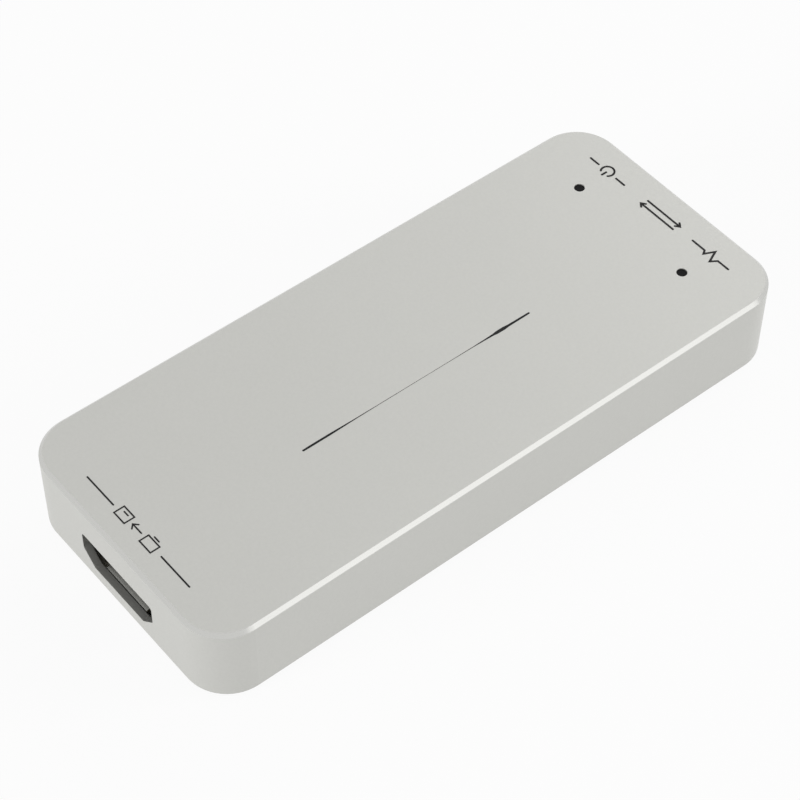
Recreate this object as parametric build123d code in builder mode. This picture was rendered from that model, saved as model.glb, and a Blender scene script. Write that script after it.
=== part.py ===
from build123d import *

import os
from math import radians, sqrt, tan

# Video capture box: a slim case machined from one block of metal, with a video input socket in
# one end and a data socket in the other. The case is open below, where a flush cover closes it.
# Four screws go through the cover and the circuit board into posts in the corners of the case,
# so they clamp the board as well. A metal block carries the processor's heat into the top of
# the case, and two light pipes reach from the board to small holes near the data end.
#
# Millimetres, +Z up. The origin is on the surface that the box stands on, under the middle of
# the case. +X runs from the video end to the data end, and +Y is to the left of that.

# Case
body_length = 98.0
body_width = 42.5
body_height = 12.8
corner_radius = 6.45
top_chamfer = 0.5
bottom_bevel = 0.2
wall = 2.0
top_wall = 1.6
mouth_wall = 1.05

# Bottom cover, which lies in a step in the case's lower rim
cover_thickness = 1.0
cover_rim = 1.0
cover_gap = 0.1

# Rubber feet, each in a shallow pocket of the cover
foot_radius = 4.0
foot_stand = 0.8
foot_pocket = 0.3
foot_gap = 0.05
foot_round = 0.3
foot_inset_x = 14.0
foot_inset_y = 8.5

# Corner posts of the case and the cover's screws
post_radius = 2.5
post_bite = 0.25
tapped_clearance = 0.05
tapped_spare = 0.65
screw_radius = 1.0
screw_grip = 3.85
screw_head_radius = 1.75
screw_head_sink = 0.1
cover_hole_clearance = 0.1
countersink_gap = 0.02
countersink_angle = 90.0
cross_length = 1.9
cross_width = 0.45
cross_depth = 0.45
ring_wall = 0.8

# Circuit board and the insulating sheet under it
board_thickness = 1.0
board_standoff = 0.25
board_gap = 0.5
board_hole_clearance = 0.15
sheet_thickness = 0.1
sheet_gap = 0.4

# Both sockets: sheet-metal shells with legs through the board. Each reaches into a shallow
# pocket inside its end wall, which is open below so that the board goes in from there.
shell_gauge = 0.3
socket_gap = 0.1
pocket_gap = 0.6
leg_width = 1.2
leg_gap = 0.2
leg_station_shares = (0.22, 0.78)
tail_gap = 0.2
tail_length = 0.8

# Video input socket, wide above and narrow below, and the opening for it in the case
video_width = 14.0
video_height = 4.55
video_foot_inset = 2.3
video_shoulder = 1.85
video_depth = 12.0
video_block_depth = 3.0
video_tongue_side_gap = 1.5
video_tongue_thickness = 1.3
video_tongue_recess = 1.0
video_upper_count = 10
video_lower_count = 9
video_contact_width = 0.3
video_contact_gauge = 0.15
video_contact_inset = 0.4
video_mouth_side = 0.7
video_mouth_rise = 0.325
video_mouth_radius = 0.55
video_lip_length = 0.7
video_lip_flare = 0.2
video_lip_side_gap = 0.25
latch_length = 5.2
latch_width = 1.6
latch_slot = 0.4
latch_spread = 6.0
latch_setback = 1.5

# Data socket, a plain rectangle, and the opening for it in the case
data_width = 12.5
data_height = 5.12
data_depth = 14.0
data_block_depth = 4.0
data_tongue_side_gap = 0.7
data_tongue_thickness = 1.84
data_tongue_drop = 0.95
data_tongue_recess = 1.0
data_mouth_margin = 0.35
data_mouth_radius = 0.6
data_contact_gauge = 0.2
data_contact_inset = 0.3
plain_contact_width = 0.8
plain_inner_spread = 2.0
plain_outer_spread = 7.0
fast_contact_width = 0.6
fast_contact_pitch = 2.0
fast_contact_count = 5
fast_pad_length = 1.7
fast_pad_gap = 0.6

# Lamps near the data end and the light pipes above them
lamp_inset = 10.07
lamp_side_gap = 2.15
lamp_hole_radius = 0.78
lamp_length = 1.6
lamp_width = 0.8
lamp_height = 0.6
pipe_tip_gap = 0.05
pipe_tip_sink = 0.15
pipe_flange_radius = 1.9
pipe_flange_height = 0.8
pipe_stem_radius = 1.2
pipe_lamp_gap = 0.3

# Chips on the board
part_gap = 1.0
board_margin = 0.7
chip_edge = 0.15
dot_depth = 0.08
dot_radius_share = 0.06
dot_inset_share = 0.16
receiver_side = 10.0
receiver_height = 1.4
lead_count = 14
lead_width = 0.26
lead_gauge = 0.14
lead_reach = 1.0
lead_foot = 0.5
processor_side = 12.0
processor_height = 1.7
bridge_side = 10.0
bridge_height = 1.2
memory_length = 10.0
memory_width = 6.5
memory_height = 1.0
firmware_side = 5.2
firmware_height = 1.6
crystal_length = 3.2
crystal_width = 2.5
crystal_height = 0.8
surge_length = 1.0
surge_width = 2.5
surge_height = 0.55
surge_count = 4
coil_side = 4.0
coil_height = 2.0
coil_space = 2.0
coil_count = 3
coil_corner = 0.6
regulator_side = 3.0
regulator_height = 0.8
can_radius = 2.5
can_height = 4.6
can_edge = 0.3
can_base_rim = 0.15
can_base_height = 0.8
can_base_chamfer = 1.0
capacitor_length = 1.6
capacitor_width = 0.8
capacitor_height = 0.8
capacitor_count = 8
resistor_length = 1.0
resistor_width = 0.5
resistor_height = 0.35
resistor_count = 8

# Heat path from the processor to the top of the case
lower_pad_inset = 1.0
lower_pad_height = 1.0
heat_block_inset = 0.5
heat_block_chamfer = 0.4
upper_pad_height = 0.5

# One overrun for every cut that has to pass right through a face
overrun = 1.0

# Levels above the standing surface
floor_level = foot_stand
case_top = floor_level + body_height
ceiling = case_top - top_wall
cover_top = floor_level + cover_thickness
board_bottom = cover_top + board_standoff
board_top = board_bottom + board_thickness
socket_floor = board_top + shell_gauge

# Plan of the case, its cavity, the cover and the board, all with the same corner centres
cavity_length = body_length - 2 * wall
cavity_width = body_width - 2 * wall
cavity_radius = corner_radius - wall
seat_length = body_length - 2 * cover_rim
seat_width = body_width - 2 * cover_rim
seat_radius = corner_radius - cover_rim
cover_length = seat_length - 2 * cover_gap
cover_width = seat_width - 2 * cover_gap
board_length = cavity_length - 2 * board_gap
board_width = cavity_width - 2 * board_gap
board_radius = cavity_radius - board_gap

# Posts: each stands on the diagonal of its corner and just bites into the wall there
post_shift = (cavity_radius - post_radius + post_bite) / sqrt(2)
post_x = body_length / 2 - corner_radius + post_shift
post_y = body_width / 2 - corner_radius + post_shift
post_places = [(x, y) for x in (-post_x, post_x) for y in (-post_y, post_y)]
cover_hole_radius = screw_radius + cover_hole_clearance
board_hole_radius = screw_radius + board_hole_clearance
tapped_radius = screw_radius + tapped_clearance
tapped_depth = screw_grip + tapped_spare
head_slope = tan(radians(countersink_angle / 2))
head_level = floor_level + screw_head_sink
screw_length = board_top + screw_grip - head_level
ring_radius = cover_hole_radius + ring_wall

# Feet and lamps
foot_x = body_length / 2 - foot_inset_x
foot_y = body_width / 2 - foot_inset_y
foot_places = {
    "foot_video_right": (-foot_x, -foot_y),
    "foot_video_left": (-foot_x, foot_y),
    "foot_data_right": (foot_x, -foot_y),
    "foot_data_left": (foot_x, foot_y),
}
lamp_x = body_length / 2 - lamp_inset
lamp_y = data_width / 2 + shell_gauge + lamp_side_gap + pipe_flange_radius
lamp_places = {"power": (lamp_x, lamp_y), "status": (lamp_x, -lamp_y)}

# Sockets along X: the front of each shell lies just behind the thin part of the end wall
video_front = -body_length / 2 + mouth_wall + socket_gap
video_edge = video_front + video_lip_length
video_rear = video_front + video_depth
video_tip = video_front + video_tongue_recess
video_tail = video_rear + tail_gap
video_tail_end = video_tail + video_contact_gauge + tail_length
video_middle = socket_floor + video_height / 2
video_foot_width = video_width - 2 * video_foot_inset
video_tongue_width = video_width - 2 * video_tongue_side_gap
video_pitch = video_tongue_width / (video_upper_count + 1)
data_front = body_length / 2 - mouth_wall - socket_gap
data_rear = data_front - data_depth
data_tip = data_front - data_tongue_recess
data_tongue_width = data_width - 2 * data_tongue_side_gap
data_tongue_top = socket_floor + data_height - data_tongue_drop
data_tongue_bottom = data_tongue_top - data_tongue_thickness
data_tongue_middle = data_tongue_bottom + data_tongue_thickness / 2
plain_tail = data_rear - tail_gap
fast_tail = plain_tail - data_contact_gauge - tail_length - tail_gap
data_tail_end = fast_tail - data_contact_gauge - tail_length

# Places of the chips, each worked out from its neighbour
surge_x = video_tail_end + part_gap + surge_length / 2
surge_pitch = video_width / surge_count
receiver_x = surge_x + surge_length / 2 + part_gap + lead_reach + receiver_side / 2
lead_pitch = receiver_side / (lead_count + 2)
resistor_y = receiver_side / 2 + lead_reach + part_gap + resistor_length / 2
resistor_pitch = receiver_side / resistor_count
processor_x = 0.0
bridge_x = data_tail_end - part_gap - bridge_side / 2
memory_y = processor_side / 2 + part_gap + memory_width / 2
capacitor_x = processor_side / 2 + part_gap + capacitor_length / 2
capacitor_pitch = processor_side / capacitor_count
column_edge = max(capacitor_x + capacitor_length / 2, memory_length / 2)
firmware_x = column_edge + part_gap + firmware_side / 2
firmware_y = board_width / 2 - board_margin - firmware_side / 2
regulator_y = -(board_width / 2 - board_margin - regulator_side / 2)
coil_x = column_edge + part_gap + coil_side / 2
coil_y = regulator_y + regulator_side / 2 + part_gap + coil_side / 2
coil_pitch = coil_side + coil_space
crystal_y = bridge_side / 2 + part_gap + crystal_width / 2
can_base_side = 2 * (can_radius + can_base_rim)
can_x = receiver_x
can_y = board_width / 2 - board_margin - can_base_side / 2
clock_x = can_x + can_base_side / 2 + part_gap + crystal_length / 2


def save(piece, name):
    """Names a finished piece and writes it as one file."""
    piece.label = name
    export_step(piece, f"parts/{name}.step")


def video_outline(width, height, foot_width, shoulder, bottom):
    """Corner points of the video socket's outline in the YZ plane: wide above, narrow below."""
    return [
        (-width / 2, bottom + height),
        (-width / 2, bottom + shoulder),
        (-foot_width / 2, bottom),
        (foot_width / 2, bottom),
        (width / 2, bottom + shoulder),
        (width / 2, bottom + height),
    ]


def block_on_board(length, width, height, places):
    """One plain block at each place, standing on the board."""
    with BuildPart() as blocks:
        with BuildSketch(Plane.XY.offset(board_top)):
            with Locations(*places):
                Rectangle(length, width)
        extrude(amount=height)
    return blocks.part


def chip(length, width, height, place):
    """A moulded chip: softened top edges and a small round mark at one corner."""
    with BuildPart() as body:
        add(block_on_board(length, width, height, [place]))
        chamfer(body.faces().sort_by(Axis.Z)[-1].edges(), length=chip_edge)
        inset = dot_inset_share * width
        dot_place = (place[0] - length / 2 + inset, place[1] - width / 2 + inset)
        with BuildSketch(Plane.XY.offset(board_top + height - dot_depth)):
            with Locations(dot_place):
                Circle(dot_radius_share * width)
        extrude(amount=dot_depth + overrun, mode=Mode.SUBTRACT)
    return body.part


def side_strip(start, end, low, high):
    """Centre, length and height of a rectangle in the XZ plane between two places and levels."""
    return ((start + end) / 2, (low + high) / 2), abs(end - start), high - low


def spread_evenly(count, pitch):
    """Places of a row about zero, one pitch apart."""
    return [(n - (count - 1) / 2) * pitch for n in range(count)]


def bent_contacts(width, strips, across):
    """Contacts of one bent shape at several places across: flat strips seen from the side."""
    with BuildPart() as contact:
        with BuildSketch(Plane.XZ) as side:
            for place, length, height in strips:
                with Locations(place):
                    Rectangle(length, height)
        extrude(side.sketch, amount=width / 2, both=True)
    with BuildPart() as contacts:
        with Locations(*[(0, y, 0) for y in across]):
            add(contact.part)
    return contacts.part


os.makedirs("parts", exist_ok=True)

# Case: outer block with its bright top chamfer, hollowed from below
with BuildPart() as housing:
    with BuildSketch(Plane.XY.offset(floor_level)):
        RectangleRounded(body_length, body_width, corner_radius)
    extrude(amount=body_height)
    chamfer(housing.faces().sort_by(Axis.Z)[-1].edges(), length=top_chamfer)
    chamfer(housing.faces().sort_by(Axis.Z)[0].edges(), length=bottom_bevel)
    with BuildSketch(Plane.XY.offset(floor_level)):
        RectangleRounded(cavity_length, cavity_width, cavity_radius)
    extrude(amount=body_height - top_wall, mode=Mode.SUBTRACT)
    with BuildSketch(Plane.XY.offset(floor_level)):
        RectangleRounded(seat_length, seat_width, seat_radius)
    extrude(amount=cover_thickness, mode=Mode.SUBTRACT)
    # Corner posts with tapped holes from below
    with BuildSketch(Plane.XY.offset(board_top)):
        with Locations(*post_places):
            Circle(post_radius)
    extrude(amount=ceiling - board_top)
    with BuildSketch(Plane.XY.offset(board_top)):
        with Locations(*post_places):
            Circle(tapped_radius)
    extrude(amount=tapped_depth, mode=Mode.SUBTRACT)
    # Pockets for the fronts of the sockets
    pocket_length = wall - mouth_wall
    pocket_x = body_length / 2 - mouth_wall - pocket_length / 2
    for x, width, height in (
        (-pocket_x, video_width, video_height),
        (pocket_x, data_width, data_height),
    ):
        pocket_top = socket_floor + height + shell_gauge + pocket_gap
        with BuildSketch(Plane.XY.offset(floor_level)):
            with Locations((x, 0)):
                Rectangle(pocket_length, width + 2 * (shell_gauge + pocket_gap))
        extrude(amount=pocket_top - floor_level, mode=Mode.SUBTRACT)
    # Opening for the video plug
    with BuildSketch(Plane.YZ.offset(-body_length / 2 - overrun)) as video_mouth:
        Polygon(
            *video_outline(
                video_width + 2 * video_mouth_side,
                video_height + 2 * video_mouth_rise,
                video_foot_width + 2 * video_mouth_side,
                video_shoulder + video_mouth_rise,
                socket_floor - video_mouth_rise,
            ),
            align=None,
        )
        fillet(video_mouth.vertices(), radius=video_mouth_radius)
    extrude(amount=wall + 2 * overrun, mode=Mode.SUBTRACT)
    # Opening for the data plug
    with BuildSketch(Plane.YZ.offset(body_length / 2 - wall - overrun)):
        with Locations((0, socket_floor + data_height / 2)):
            RectangleRounded(
                data_width + 2 * data_mouth_margin,
                data_height + 2 * data_mouth_margin,
                data_mouth_radius,
            )
    extrude(amount=wall + 2 * overrun, mode=Mode.SUBTRACT)
    # Holes over the lamps
    with BuildSketch(Plane.XY.offset(ceiling - overrun)):
        with Locations(*lamp_places.values()):
            Circle(lamp_hole_radius)
    extrude(amount=top_wall + 2 * overrun, mode=Mode.SUBTRACT)
save(housing.part, "housing")

# Bottom cover: flush plate with countersunk holes, pockets for the feet and low rings that
# carry the board
with BuildPart() as bottom_cover:
    with BuildSketch(Plane.XY.offset(floor_level)):
        RectangleRounded(cover_length, cover_width, seat_radius - cover_gap)
    extrude(amount=cover_thickness)
    with BuildSketch(Plane.XY.offset(cover_top)):
        with Locations(*post_places):
            Circle(ring_radius)
    extrude(amount=board_standoff)
    with BuildSketch(Plane.XY.offset(floor_level - overrun)):
        with Locations(*post_places):
            Circle(cover_hole_radius)
    extrude(amount=cover_thickness + board_standoff + 2 * overrun, mode=Mode.SUBTRACT)
    sink_radius = screw_head_radius + (screw_head_sink + countersink_gap) * head_slope
    with Locations(*[(x, y, floor_level) for x, y in post_places]):
        Cone(
            bottom_radius=sink_radius,
            top_radius=cover_hole_radius,
            height=(sink_radius - cover_hole_radius) / head_slope,
            align=(Align.CENTER, Align.CENTER, Align.MIN),
            mode=Mode.SUBTRACT,
        )
    with BuildSketch(Plane.XY.offset(floor_level)):
        with Locations(*foot_places.values()):
            Circle(foot_radius + foot_gap)
    extrude(amount=foot_pocket, mode=Mode.SUBTRACT)
save(bottom_cover.part, "bottom_cover")

# Screws: flat heads a little below the cover's face, with a cross recess
with BuildPart() as cover_screws:
    with Locations(*[(x, y, head_level) for x, y in post_places]):
        Cylinder(screw_radius, screw_length, align=(Align.CENTER, Align.CENTER, Align.MIN))
        Cone(
            bottom_radius=screw_head_radius,
            top_radius=screw_radius,
            height=(screw_head_radius - screw_radius) / head_slope,
            align=(Align.CENTER, Align.CENTER, Align.MIN),
        )
    with BuildSketch(Plane.XY.offset(head_level)):
        with Locations(*post_places):
            Rectangle(cross_length, cross_width)
            Rectangle(cross_width, cross_length)
    extrude(amount=cross_depth, mode=Mode.SUBTRACT)
save(cover_screws.part, "cover_screws")

# Feet: round rubber pads in the cover's pockets
for foot_name, (x, y) in foot_places.items():
    with BuildPart() as foot:
        with BuildSketch():
            with Locations((x, y)):
                Circle(foot_radius)
        extrude(amount=foot_stand + foot_pocket)
        fillet(foot.faces().sort_by(Axis.Z)[0].edges(), radius=foot_round)
    save(foot.part, foot_name)

# Insulating sheet: thin film on the cover, its corners cut away round the rings
sheet_length = board_length - 2 * sheet_gap
sheet_width = board_width - 2 * sheet_gap
with BuildPart() as insulating_sheet:
    with BuildSketch(Plane.XY.offset(cover_top)):
        Rectangle(sheet_length, sheet_width)
        notch_length = sheet_length / 2 - post_x + ring_radius + sheet_gap
        notch_width = sheet_width / 2 - post_y + ring_radius + sheet_gap
        with GridLocations(sheet_length, sheet_width, 2, 2):
            Rectangle(2 * notch_length, 2 * notch_width, mode=Mode.SUBTRACT)
    extrude(amount=sheet_thickness)
save(insulating_sheet.part, "insulating_sheet")

# Circuit board: screw holes in the corners and slots for the socket shells' legs
video_leg_y = (video_width + shell_gauge) / 2
data_leg_y = (data_width + shell_gauge) / 2
video_leg_places = []
data_leg_places = []
for share in leg_station_shares:
    for side in (-1, 1):
        video_leg_places.append((video_front + share * video_depth, side * video_leg_y))
        data_leg_places.append((data_front - share * data_depth, side * data_leg_y))
with BuildPart() as main_board:
    with BuildSketch(Plane.XY.offset(board_bottom)):
        RectangleRounded(board_length, board_width, board_radius)
        with Locations(*post_places):
            Circle(board_hole_radius, mode=Mode.SUBTRACT)
        with Locations(*video_leg_places, *data_leg_places):
            Rectangle(leg_width + 2 * leg_gap, shell_gauge + 2 * leg_gap, mode=Mode.SUBTRACT)
    extrude(amount=board_thickness)
save(main_board.part, "main_board")

# Video socket shell: folded sheet with two latch springs cut in its roof, and a lip along the
# front of its roof and floor that flares out to guide the plug
video_inner = video_outline(video_width, video_height, video_foot_width, video_shoulder, socket_floor)
video_roof = socket_floor + video_height + shell_gauge
with BuildPart() as video_socket_shell:
    with BuildSketch(Plane.YZ.offset(video_edge)):
        Polygon(*video_inner, align=None)
        offset(amount=shell_gauge)
    extrude(amount=video_rear - video_edge)
    with BuildSketch(Plane.YZ.offset(video_edge)):
        Polygon(*video_inner, align=None)
    extrude(amount=video_rear - video_edge, mode=Mode.SUBTRACT)
    for level, direction, width in (
        (socket_floor, -1, video_foot_width),
        (socket_floor + video_height, 1, video_width),
    ):
        flare = direction * video_lip_flare
        with BuildSketch(Plane.XZ) as lip:
            Polygon(
                (video_edge, level),
                (video_edge, level + direction * shell_gauge),
                (video_front, level + direction * shell_gauge + flare),
                (video_front, level + flare),
                align=None,
            )
        extrude(lip.sketch, amount=width / 2 - video_lip_side_gap, both=True)
    leg_top = socket_floor + video_height / 2
    with BuildSketch(Plane.XY.offset(board_bottom)):
        with Locations(*video_leg_places):
            Rectangle(leg_width, shell_gauge)
    extrude(amount=leg_top - board_bottom)
    slot_start = video_edge + latch_setback
    slot_length = latch_slot + latch_length
    for side in (-1, 1):
        latch_y = side * latch_spread / 2
        with BuildSketch(Plane.XY.offset(video_roof + overrun)):
            with Locations((slot_start + slot_length / 2, latch_y)):
                Rectangle(slot_length, latch_width + 2 * latch_slot)
            with Locations((slot_start + latch_slot + latch_length / 2, latch_y)):
                Rectangle(latch_length, latch_width, mode=Mode.SUBTRACT)
        extrude(amount=-(shell_gauge + 2 * overrun), mode=Mode.SUBTRACT)
save(video_socket_shell.part, "video_socket_shell")

# Video socket contacts: the lower row lies half a pitch to the side of the upper row
tongue_top = video_middle + video_tongue_thickness / 2
tongue_bottom = video_middle - video_tongue_thickness / 2
contact_start = video_tip + video_contact_inset
riser_end = video_tail + video_contact_gauge
tail_level = board_top + video_contact_gauge
tail_strips = [side_strip(video_tail, video_tail_end, board_top, tail_level)]
upper_strips = tail_strips + [
    side_strip(contact_start, video_tail, tongue_top - video_contact_gauge, tongue_top),
    side_strip(video_tail, riser_end, board_top, tongue_top),
]
lower_strips = tail_strips + [
    side_strip(contact_start, video_tail, tongue_bottom, tongue_bottom + video_contact_gauge),
    side_strip(video_tail, riser_end, board_top, tongue_bottom + video_contact_gauge),
]
with BuildPart() as video_socket_contacts:
    upper_row = spread_evenly(video_upper_count, video_pitch)
    lower_row = spread_evenly(video_lower_count, video_pitch)
    add(bent_contacts(video_contact_width, upper_strips, upper_row))
    add(bent_contacts(video_contact_width, lower_strips, lower_row))
save(video_socket_contacts.part, "video_socket_contacts")

# Video socket insulator: a block that closes the shell behind and the tongue in front of it
with BuildPart() as video_socket_tongue:
    with BuildSketch(Plane.YZ.offset(video_rear - video_block_depth)):
        Polygon(*video_inner, align=None)
    extrude(amount=video_block_depth)
    with BuildSketch(Plane.YZ.offset(video_tip)):
        with Locations((0, video_middle)):
            Rectangle(video_tongue_width, video_tongue_thickness)
    extrude(amount=video_rear - video_tip)
    add(video_socket_contacts.part, mode=Mode.SUBTRACT)
save(video_socket_tongue.part, "video_socket_tongue")

# Data socket shell: a plain rectangular sleeve
with BuildPart() as data_socket_shell:
    with BuildSketch(Plane.YZ.offset(data_rear)):
        with Locations((0, socket_floor + data_height / 2)):
            RectangleRounded(
                data_width + 2 * shell_gauge, data_height + 2 * shell_gauge, 2 * shell_gauge
            )
            RectangleRounded(data_width, data_height, shell_gauge, mode=Mode.SUBTRACT)
    extrude(amount=data_depth)
    with BuildSketch(Plane.XY.offset(board_bottom)):
        with Locations(*data_leg_places):
            Rectangle(leg_width, shell_gauge)
    extrude(amount=socket_floor + data_height / 2 - board_bottom)
save(data_socket_shell.part, "data_socket_shell")

# Data socket contacts: four plain springs, and five fast ones that start in short pads at the tip
pad_start = data_tip - data_contact_inset
pad_end = pad_start - fast_pad_length
pad_bend = pad_end + data_contact_gauge
plain_start = pad_end - fast_pad_gap
plain_tail_end = plain_tail - data_contact_gauge - tail_length
face_level = data_tongue_bottom + data_contact_gauge
inner_level = data_tongue_middle + data_contact_gauge
foot_level = board_top + data_contact_gauge
plain_strips = [
    side_strip(plain_start, plain_tail, data_tongue_bottom, face_level),
    side_strip(plain_tail, plain_tail - data_contact_gauge, board_top, face_level),
    side_strip(plain_tail, plain_tail_end, board_top, foot_level),
]
fast_strips = [
    side_strip(pad_start, pad_end, data_tongue_bottom, face_level),
    side_strip(pad_bend, pad_end, data_tongue_bottom, data_tongue_middle),
    side_strip(pad_bend, fast_tail, data_tongue_middle, inner_level),
    side_strip(fast_tail, fast_tail - data_contact_gauge, board_top, inner_level),
    side_strip(fast_tail, data_tail_end, board_top, foot_level),
]
plain_row = []
for spread in (plain_inner_spread, plain_outer_spread):
    plain_row += [-spread / 2, spread / 2]
fast_row = spread_evenly(fast_contact_count, fast_contact_pitch)
with BuildPart() as data_socket_contacts:
    add(bent_contacts(plain_contact_width, plain_strips, plain_row))
    add(bent_contacts(fast_contact_width, fast_strips, fast_row))
save(data_socket_contacts.part, "data_socket_contacts")

# Data socket insulator: rear block and tongue, with the contacts moulded in
with BuildPart() as data_socket_tongue:
    with BuildSketch(Plane.YZ.offset(data_rear)):
        with Locations((0, socket_floor + data_height / 2)):
            RectangleRounded(data_width, data_height, shell_gauge)
    extrude(amount=data_block_depth)
    with BuildSketch(Plane.YZ.offset(data_rear)):
        with Locations((0, data_tongue_middle)):
            Rectangle(data_tongue_width, data_tongue_thickness)
    extrude(amount=data_tip - data_rear)
    add(data_socket_contacts.part, mode=Mode.SUBTRACT)
save(data_socket_tongue.part, "data_socket_tongue")

# Chips with a moulded body
chip_sizes = {
    "video_receiver_chip": (receiver_side, receiver_side, receiver_height, (receiver_x, 0)),
    "capture_processor": (processor_side, processor_side, processor_height, (processor_x, 0)),
    "data_bridge_chip": (bridge_side, bridge_side, bridge_height, (bridge_x, 0)),
    "memory_chip_left": (memory_length, memory_width, memory_height, (processor_x, memory_y)),
    "memory_chip_right": (memory_length, memory_width, memory_height, (processor_x, -memory_y)),
    "firmware_chip": (firmware_side, firmware_side, firmware_height, (firmware_x, firmware_y)),
}
for chip_name, (length, width, height, place) in chip_sizes.items():
    save(chip(length, width, height, place), chip_name)

# Leads of the receiver chip: one side's row, then turned to all four sides
lead_start = receiver_side / 2
lead_end = lead_start + lead_reach
lead_bend = lead_end - lead_foot
lead_level = board_top + receiver_height / 2
lead_strips = [
    side_strip(lead_start, lead_bend, lead_level - lead_gauge, lead_level),
    side_strip(lead_bend - lead_gauge, lead_bend, board_top, lead_level),
    side_strip(lead_bend - lead_gauge, lead_end, board_top, board_top + lead_gauge),
]
lead_row = bent_contacts(lead_width, lead_strips, spread_evenly(lead_count, lead_pitch))
with BuildPart() as receiver_leads:
    with Locations((receiver_x, 0)):
        with PolarLocations(0, 4):
            add(lead_row)
save(receiver_leads.part, "receiver_leads")

# Clock crystals beside the data bridge and the receiver
crystal_places = {
    "clock_crystal_data": (bridge_x, crystal_y),
    "clock_crystal_video": (clock_x, can_y),
}
for crystal_name, place in crystal_places.items():
    with BuildPart() as crystal:
        add(block_on_board(crystal_length, crystal_width, crystal_height, [place]))
        fillet(crystal.edges().filter_by(Axis.Z), radius=chip_edge)
    save(crystal.part, crystal_name)

# Surge protection arrays between the video socket and the receiver
for n, y in enumerate(spread_evenly(surge_count, surge_pitch), start=1):
    save(block_on_board(surge_length, surge_width, surge_height, [(surge_x, y)]), f"surge_array_{n}")

# Power coils, each with its regulator chip beside it
for n in range(coil_count):
    x = coil_x + n * coil_pitch
    with BuildPart() as coil:
        add(block_on_board(coil_side, coil_side, coil_height, [(x, coil_y)]))
        chamfer(coil.edges().filter_by(Axis.Z), length=coil_corner)
    save(coil.part, f"power_coil_{n + 1}")
    regulator = chip(regulator_side, regulator_side, regulator_height, (x, regulator_y))
    save(regulator, f"regulator_chip_{n + 1}")

# Filter capacitors: metal cans on square plastic bases
for side_name, y in (("left", can_y), ("right", -can_y)):
    with BuildPart() as base:
        add(block_on_board(can_base_side, can_base_side, can_base_height, [(can_x, y)]))
        chamfer(base.edges().filter_by(Axis.Z).sort_by(Axis.X)[-2:], length=can_base_chamfer)
    save(base.part, f"filter_capacitor_base_{side_name}")
    with BuildPart() as can:
        with BuildSketch(Plane.XY.offset(board_top + can_base_height)):
            with Locations((can_x, y)):
                Circle(can_radius)
        extrude(amount=can_height)
        fillet(can.faces().sort_by(Axis.Z)[-1].edges(), radius=can_edge)
    save(can.part, f"filter_capacitor_can_{side_name}")

# Small capacitors in a column on each side of the processor
column = spread_evenly(capacitor_count, capacitor_pitch)
places = [(x, y) for x in (-capacitor_x, capacitor_x) for y in column]
save(block_on_board(capacitor_length, capacitor_width, capacitor_height, places), "chip_capacitors")

# Small resistors in a row on each side of the receiver
row = spread_evenly(resistor_count, resistor_pitch)
places = [(receiver_x + x, y) for x in row for y in (-resistor_y, resistor_y)]
save(block_on_board(resistor_width, resistor_length, resistor_height, places), "chip_resistors")

# Lamps on the board, and the light pipes that hang from the ceiling of the case above them
for lamp_name, (x, y) in lamp_places.items():
    save(block_on_board(lamp_length, lamp_width, lamp_height, [(x, y)]), f"{lamp_name}_lamp")
    pipe_bottom = board_top + lamp_height + pipe_lamp_gap
    with BuildPart() as light_pipe:
        with BuildSketch(Plane.XY.offset(pipe_bottom)):
            with Locations((x, y)):
                Circle(pipe_stem_radius)
        extrude(amount=ceiling - pipe_bottom)
        with BuildSketch(Plane.XY.offset(ceiling - pipe_flange_height)):
            with Locations((x, y)):
                Circle(pipe_flange_radius)
        extrude(amount=pipe_flange_height)
        with BuildSketch(Plane.XY.offset(ceiling)):
            with Locations((x, y)):
                Circle(lamp_hole_radius - pipe_tip_gap)
        extrude(amount=top_wall - pipe_tip_sink)
    save(light_pipe.part, f"{lamp_name}_light_pipe")

# Heat path: pad, metal block and pad between the processor and the ceiling of the case
processor_top = board_top + processor_height
heat_block_side = processor_side - 2 * heat_block_inset
block_bottom = processor_top + lower_pad_height
block_top = ceiling - upper_pad_height
with BuildPart() as lower_thermal_pad:
    with BuildSketch(Plane.XY.offset(processor_top)):
        Rectangle(processor_side - 2 * lower_pad_inset, processor_side - 2 * lower_pad_inset)
    extrude(amount=lower_pad_height)
save(lower_thermal_pad.part, "lower_thermal_pad")
with BuildPart() as heat_block:
    with BuildSketch(Plane.XY.offset(block_bottom)):
        Rectangle(heat_block_side, heat_block_side)
    extrude(amount=block_top - block_bottom)
    chamfer(heat_block.edges().filter_by(Axis.Z), length=heat_block_chamfer)
save(heat_block.part, "heat_block")
with BuildPart() as upper_thermal_pad:
    with BuildSketch(Plane.XY.offset(block_top)):
        Rectangle(heat_block_side, heat_block_side)
    extrude(amount=upper_pad_height)
save(upper_thermal_pad.part, "upper_thermal_pad")
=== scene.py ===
from math import cos, pi, radians, sin

import bmesh
import bpy
from mathutils import Matrix, Vector


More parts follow.
